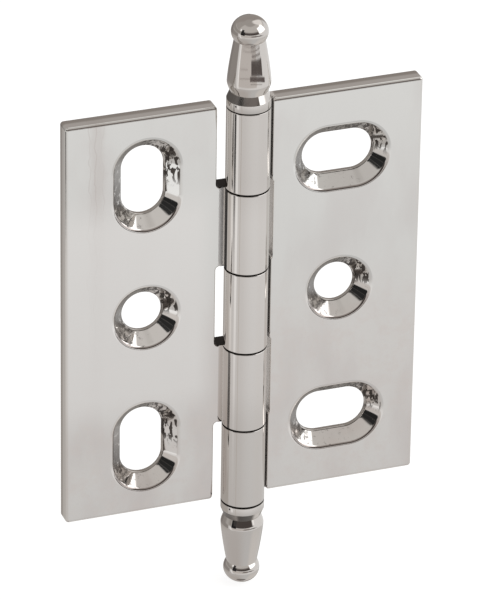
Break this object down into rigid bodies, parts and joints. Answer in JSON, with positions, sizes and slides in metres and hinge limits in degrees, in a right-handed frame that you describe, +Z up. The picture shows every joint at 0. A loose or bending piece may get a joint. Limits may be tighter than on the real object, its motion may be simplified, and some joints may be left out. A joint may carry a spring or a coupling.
{
  "type": "decorative butt hinge",
  "caption": "Polished nickel butt hinge with slotted, countersunk flat leaves, a knuckled barrel set forward of them and a turned finial at each end of its pin.",
  "frame": {"origin": "on the pin's axis, at mid-height of the leaves", "axes": "+Z up along the pin, -Y the way the countersunk faces look, +X from the pin across the frame leaf"},
  "size_m": [0.042, 0.0054, 0.0718],
  "materials": {
    "nickel": "polished nickel plate on brass",
    "pin_steel": "bright drawn"
  },
  "bodies": {
    "frame_side": {"frame_leaf": "nickel", "hinge_pin": "pin_steel", "top_finial": "nickel", "bottom_finial": "nickel"},
    "door_side": {"door_leaf": "nickel"}
  },
  "joints": [
    {"name": "door_swing", "type": "hinge", "parent": "frame_side", "child": "door_side", "pos_m": [0, 0, 0], "axis": [0, 0, 1], "range_deg": [-90, 180]}
  ]
}
